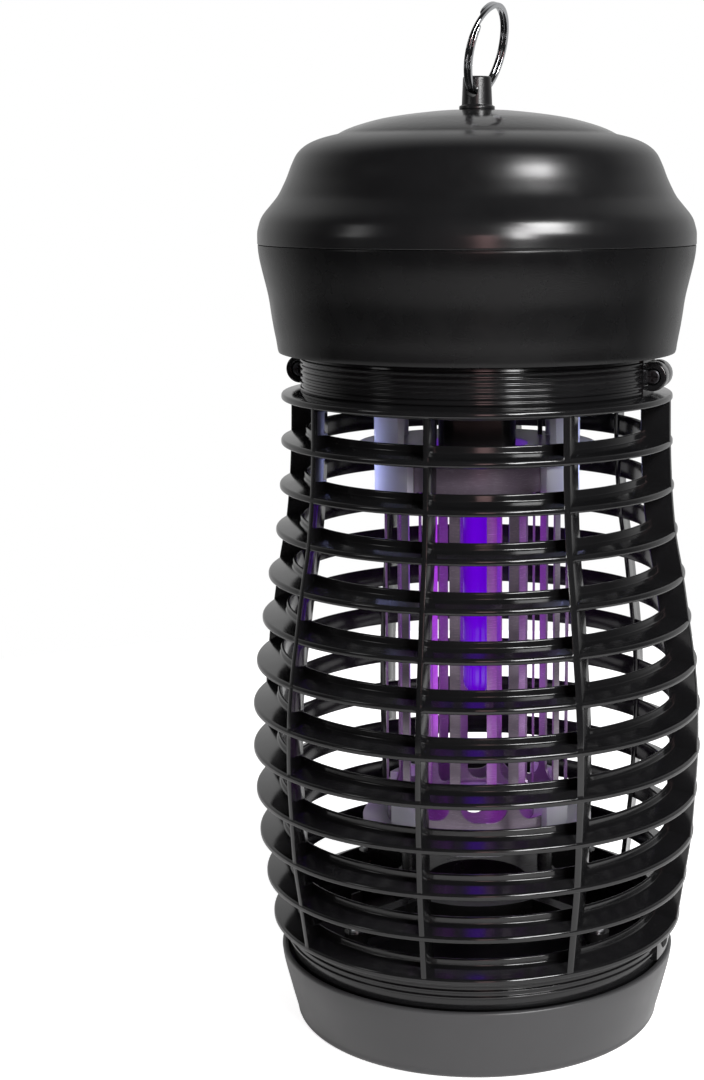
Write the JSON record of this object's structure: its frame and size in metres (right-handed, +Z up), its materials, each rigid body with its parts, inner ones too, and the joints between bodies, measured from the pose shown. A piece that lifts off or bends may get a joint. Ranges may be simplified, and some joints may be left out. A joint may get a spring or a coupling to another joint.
{
  "type": "electric bug zapper",
  "caption": "Hanging insect killer: a violet lamp inside a high-voltage grid, a louvred guard cage, a domed head with a split ring, and a pull-off catch tray.",
  "frame": {"origin": "centre of the underside of the catch tray", "axes": "+Z up along the lamp, the front looks along -Y, +X to the right as seen from the front"},
  "size_m": [0.1644, 0.1644, 0.3668],
  "materials": {
    "cage_plastic": "glossy injection-moulded black",
    "head_plastic": "fine-textured satin black",
    "cover_plastic": "satin-gloss black",
    "tray_plastic": "satin dark grey-black",
    "post_plastic": "black",
    "chrome": "polished nickel plate",
    "zinc_steel": "bright zinc plate",
    "black_screw": "blackened steel",
    "rubber": "matt black",
    "grid_metal": "bright galvanised",
    "insulator": "milky translucent",
    "socket": "black",
    "spider": "black",
    "lamp_glass": "violet ultraviolet lamp glass, lit",
    "lamp_cap": "white",
    "brass": "plain",
    "board": "green laminate",
    "component": "red-brown epoxy",
    "diode": "black epoxy",
    "fuse_glass": "clear",
    "terminal": "blue",
    "core": "varnished laminations",
    "winding": "amber tape",
    "lead": "red wire insulation"
  },
  "bodies": {
    "housing": {"front_cage": "cage_plastic", "rear_cage": "cage_plastic", "cage_screws": "black_screw", "collar_screws": "zinc_steel", "head_skirt": "head_plastic", "cord_gland": "rubber", "head_cover": "cover_plastic", "cover_screws": "black_screw", "hanger_post": "post_plastic", "hanger_washer": "zinc_steel", "hanger_nut": "zinc_steel", "circuit_board": "board", "board_screws": "zinc_steel", "capacitors": "component", "diodes": "diode", "fuse": "fuse_glass", "fuse_clips": "brass", "supply_terminal": "terminal", "ballast_core": "core", "ballast_coil": "winding", "lamp_socket": "socket", "socket_contacts": "brass", "socket_screws": "zinc_steel", "outer_grid": "grid_metal", "inner_grid": "grid_metal", "upper_insulator": "insulator", "lower_insulator": "insulator", "insulator_screws": "zinc_steel", "grid_leads": "lead", "bottom_spider": "spider", "spider_screws": "zinc_steel", "insulator_posts": "spider", "post_screws": "zinc_steel"},
    "ring": {"hanging_ring": "chrome"},
    "tray": {"catch_tray": "tray_plastic"},
    "lamp": {"lamp_tubes": "lamp_glass", "lamp_base": "lamp_cap", "lamp_pins": "brass"}
  },
  "joints": [
    {"name": "ring_swing", "type": "hinge", "parent": "housing", "child": "ring", "pos_m": [0, 0, 0.3367], "axis": [0.3584, 0.9336, 0], "range_deg": [-116, 88]},
    {"name": "tray_drop", "type": "slide", "parent": "housing", "child": "tray", "axis": [0, 0, -1], "range_m": [0, 0.04]},
    {"name": "lamp_pull", "type": "slide", "parent": "housing", "child": "lamp", "axis": [0, 0, -1], "range_m": [0, 0.024]}
  ]
}
